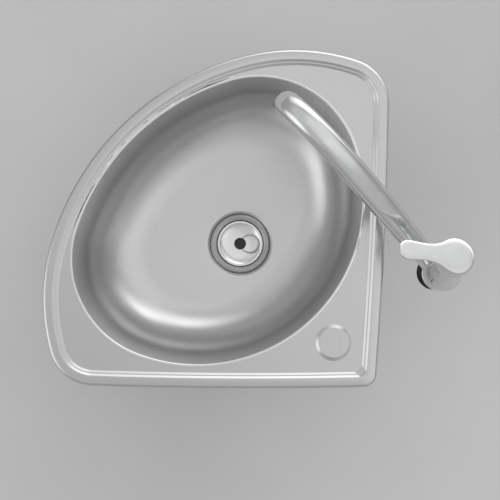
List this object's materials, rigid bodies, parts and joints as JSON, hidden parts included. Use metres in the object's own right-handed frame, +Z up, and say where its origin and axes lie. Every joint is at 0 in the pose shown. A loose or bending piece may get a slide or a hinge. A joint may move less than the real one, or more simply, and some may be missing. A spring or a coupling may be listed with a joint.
{
  "type": "corner kitchen sink",
  "caption": "Quadrant corner kitchen sink of pressed steel with an oval bowl, a basket strainer waste and under-rim clamps, with a single-lever swivel tap standing beside it.",
  "frame": {"origin": "on the waste's axis, at the level of the worktop's top, which the rim seal rests on", "axes": "+Z up; the square corner of the rim points to +X and -Y, and the front arc faces -X and +Y; the tap stands off the +X side"},
  "size_m": [0.6029, 0.498, 0.4329],
  "materials": {
    "satin_steel": "satin, fine directional grain",
    "polished_steel": "polished",
    "chrome": "bright chrome plate",
    "brass": "machined, bare",
    "zinc_plate": "zinc plated, dull",
    "rubber": "moulded, matt",
    "foam": "closed-cell foam, matt",
    "white_plastic": "moulded, satin",
    "black_plastic": "moulded, semi-gloss"
  },
  "bodies": {
    "root": {"sink_deck": "satin_steel", "sink_bowl": "satin_steel", "waste_body": "polished_steel", "tap_body": "chrome", "head_shroud": "chrome", "shank": "brass", "fixing_nut": "brass", "inlet_hot": "brass", "inlet_cold": "brass", "cartridge_nut": "brass", "friction_washer": "zinc_plate", "backing_plate": "zinc_plate", "clamp1_bracket": "zinc_plate", "clamp1_screw": "zinc_plate", "clamp2_bracket": "zinc_plate", "clamp2_screw": "zinc_plate", "clamp3_bracket": "zinc_plate", "clamp3_screw": "zinc_plate", "clamp4_bracket": "zinc_plate", "clamp4_screw": "zinc_plate", "flange_gasket": "rubber", "lower_gasket": "rubber", "tail_washer": "rubber", "base_seal": "rubber", "worktop_washer": "rubber", "spout_seal_lower": "rubber", "spout_seal_upper": "rubber", "rim_seal": "foam", "sound_pad": "foam", "locknut": "white_plastic", "tailpiece": "white_plastic", "coupling_nut": "white_plastic", "swivel_bush": "white_plastic", "cartridge": "white_plastic"},
    "spout": {"spout": "chrome", "aerator_housing": "chrome", "aerator_insert": "black_plastic"},
    "rotor": {"cartridge_rotor": "white_plastic", "lift_pin": "zinc_plate"},
    "lever": {"lever": "chrome", "lever_stem": "brass", "grub_screw": "zinc_plate", "lever_plug": "black_plastic"},
    "basket": {"basket": "polished_steel", "stopper_seal": "rubber", "knob": "black_plastic"},
    "pull_ring": {"pull_ring": "polished_steel"},
    "clamp1_claw": {"clamp1_claw": "zinc_plate"},
    "clamp2_claw": {"clamp2_claw": "zinc_plate"},
    "clamp3_claw": {"clamp3_claw": "zinc_plate"},
    "clamp4_claw": {"clamp4_claw": "zinc_plate"}
  },
  "joints": [
    {"name": "spout_swivel", "type": "hinge", "parent": "root", "child": "spout", "pos_m": [0.2926, -0.0363, 0.02], "axis": [0, 0, 1], "range_deg": [-70, 70]},
    {"name": "lever_turn", "type": "hinge", "parent": "root", "child": "rotor", "pos_m": [0.2926, -0.0363, 0.038], "axis": [0, 0.309, 0.9511], "range_deg": [-45, 45]},
    {"name": "lever_lift", "type": "hinge", "parent": "rotor", "child": "lever", "pos_m": [0.2926, -0.01662, 0.09858], "axis": [0.0523, 0.9498, -0.3086], "range_deg": [0, 20]},
    {"name": "basket_lift", "type": "slide", "parent": "root", "child": "basket", "axis": [0, 0, 1], "range_m": [0, 0.06]},
    {"name": "ring_flip", "type": "hinge", "parent": "basket", "child": "pull_ring", "pos_m": [0.0045, 0, -0.1636], "axis": [0, -1, 0], "range_deg": [0, 165]},
    {"name": "clamp1_swing", "type": "hinge", "parent": "root", "child": "clamp1_claw", "pos_m": [0.1731, -0.113, -0.0405], "axis": [0, 0, -1], "range_deg": [0, 90]},
    {"name": "clamp2_swing", "type": "hinge", "parent": "root", "child": "clamp2_claw", "pos_m": [0.113, -0.1731, -0.0405], "axis": [0, 0, 1], "range_deg": [0, 90]},
    {"name": "clamp3_swing", "type": "hinge", "parent": "root", "child": "clamp3_claw", "pos_m": [0.1727, 0.2245, -0.0405], "axis": [0, 0, -1], "range_deg": [0, 90]},
    {"name": "clamp4_swing", "type": "hinge", "parent": "root", "child": "clamp4_claw", "pos_m": [-0.2245, -0.1727, -0.0405], "axis": [0, 0, 1], "range_deg": [0, 90]}
  ]
}
